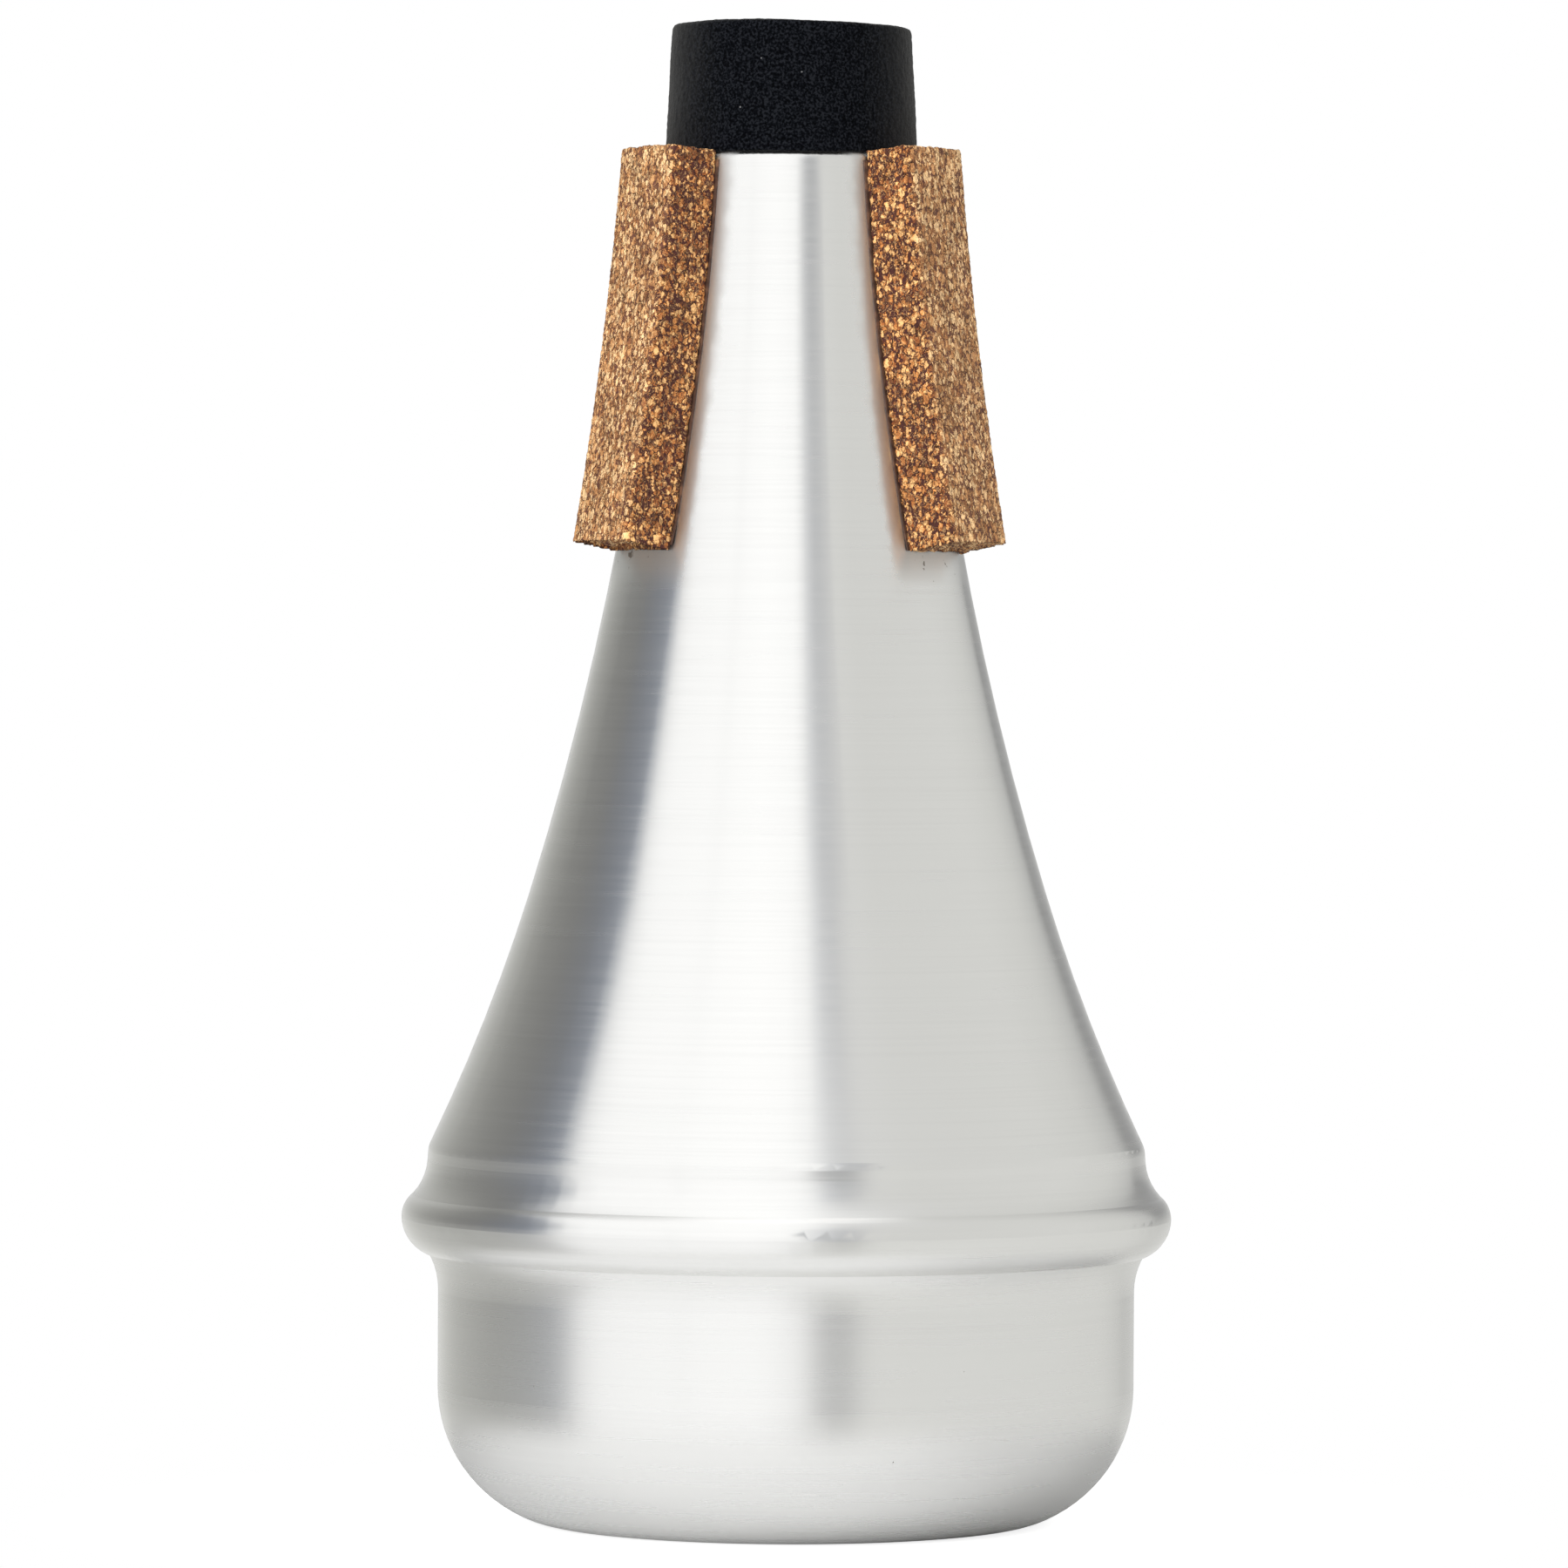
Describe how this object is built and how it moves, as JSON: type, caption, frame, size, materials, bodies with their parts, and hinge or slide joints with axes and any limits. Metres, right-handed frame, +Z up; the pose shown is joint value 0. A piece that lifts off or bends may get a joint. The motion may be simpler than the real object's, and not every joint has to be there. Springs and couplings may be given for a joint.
{
  "type": "trumpet straight mute",
  "caption": "Trumpet straight mute: spun aluminium cone with a rolled bead and a closed rounded end, cork strips along its narrow part and a black sponge bumper on its open neck.",
  "frame": {"origin": "centre of the flat base that the mute stands on", "axes": "+Z up the mute's axis towards its open neck, -Y towards the front, midway between two of the cork strips, +X to the right"},
  "size_m": [0.0848, 0.0848, 0.165],
  "materials": {
    "spun_aluminium": "satin, fine lines round the axis",
    "black_sponge": "matt, fuzzy",
    "agglomerated_cork": "rough granules",
    "contact_cement": "dull amber film"
  },
  "bodies": {
    "root": {"cone_shell": "spun_aluminium", "base_cup": "spun_aluminium", "neck_bumper": "black_sponge", "cork_left": "agglomerated_cork", "cork_right": "agglomerated_cork", "cork_back": "agglomerated_cork", "glue_left": "contact_cement", "glue_right": "contact_cement", "glue_back": "contact_cement", "glue_bumper": "contact_cement"}
  },
  "joints": []
}
